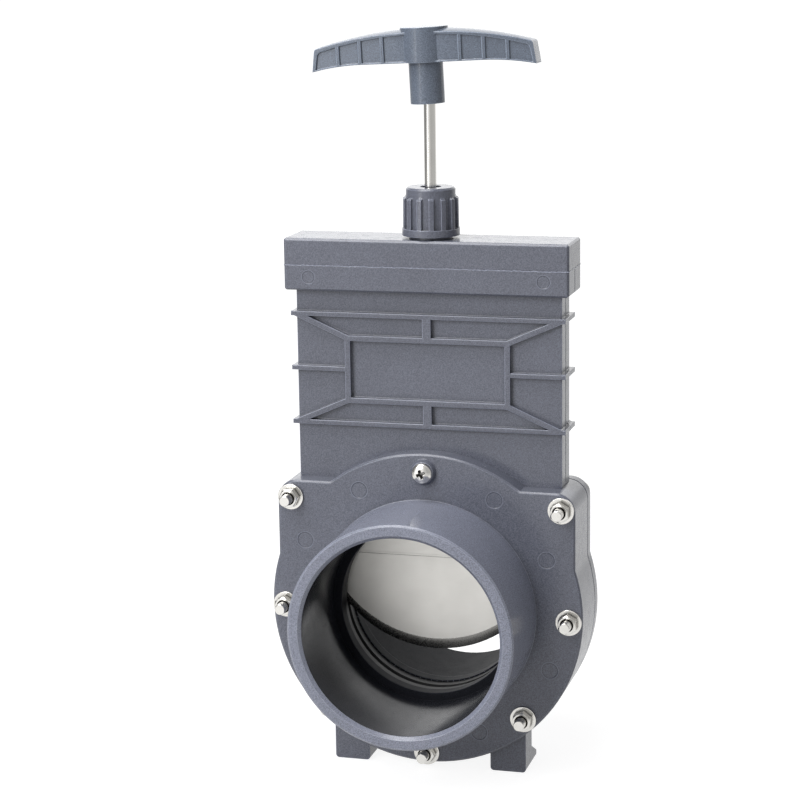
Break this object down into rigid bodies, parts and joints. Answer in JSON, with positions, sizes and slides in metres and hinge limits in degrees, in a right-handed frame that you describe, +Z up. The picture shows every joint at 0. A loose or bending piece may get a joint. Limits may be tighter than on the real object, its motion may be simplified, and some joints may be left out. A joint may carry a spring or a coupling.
{
  "type": "slide valve",
  "caption": "Plastic slide valve for a glued pipe: bolted socket bodies on feet, a flat ribbed tower, a steel gate drawn up by a rod, and a T handle.",
  "frame": {"origin": "middle of the valve's footprint, on the plane that the feet stand on", "axes": "+Z up along the rod, +Y along the pipe towards the rear socket, +X to the right seen from the front"},
  "size_m": [0.1454, 0.127, 0.338],
  "materials": {
    "pvc": "satin",
    "gate_steel": "fine brushed",
    "rod_steel": "drawn, smooth",
    "fastener_steel": "smooth",
    "seal_rubber": "matt",
    "packing": "matt"
  },
  "bodies": {
    "housing": {"front_body": "pvc", "rear_body": "pvc", "tower_front_shell": "pvc", "tower_rear_shell": "pvc", "tower_lid": "pvc", "gland_packing": "packing", "gland_follower": "pvc", "front_seal": "seal_rubber", "rear_seal": "seal_rubber", "front_screw": "fastener_steel", "rear_screw": "fastener_steel", "bolt_1": "fastener_steel", "bolt_2": "fastener_steel", "bolt_3": "fastener_steel", "bolt_4": "fastener_steel", "bolt_5": "fastener_steel", "bolt_6": "fastener_steel", "bolt_7": "fastener_steel", "bolt_nut_1": "fastener_steel", "bolt_nut_2": "fastener_steel", "bolt_nut_3": "fastener_steel", "bolt_nut_4": "fastener_steel", "bolt_nut_5": "fastener_steel", "bolt_nut_6": "fastener_steel", "bolt_nut_7": "fastener_steel", "nut_washer_1": "fastener_steel", "nut_washer_2": "fastener_steel", "nut_washer_3": "fastener_steel", "nut_washer_4": "fastener_steel", "nut_washer_5": "fastener_steel", "nut_washer_6": "fastener_steel", "nut_washer_7": "fastener_steel", "head_washer_1": "fastener_steel", "head_washer_2": "fastener_steel", "head_washer_3": "fastener_steel", "head_washer_4": "fastener_steel", "head_washer_5": "fastener_steel", "head_washer_6": "fastener_steel", "head_washer_7": "fastener_steel"},
    "gland": {"gland_nut": "pvc"},
    "gate": {"gate_plate": "gate_steel", "stem_clevis": "gate_steel", "clevis_rivet_1": "gate_steel", "clevis_rivet_2": "gate_steel", "rod": "rod_steel", "handle": "pvc"}
  },
  "joints": [
    {"name": "gate_slide", "type": "slide", "parent": "housing", "child": "gate", "axis": [0, 0, 1], "range_m": [-0.0313, 0.0648]},
    {"name": "gland_turn", "type": "hinge", "parent": "housing", "child": "gland", "pos_m": [0, 0, 0.256], "axis": [0, 0, 1], "range_deg": [-90, 360]}
  ]
}
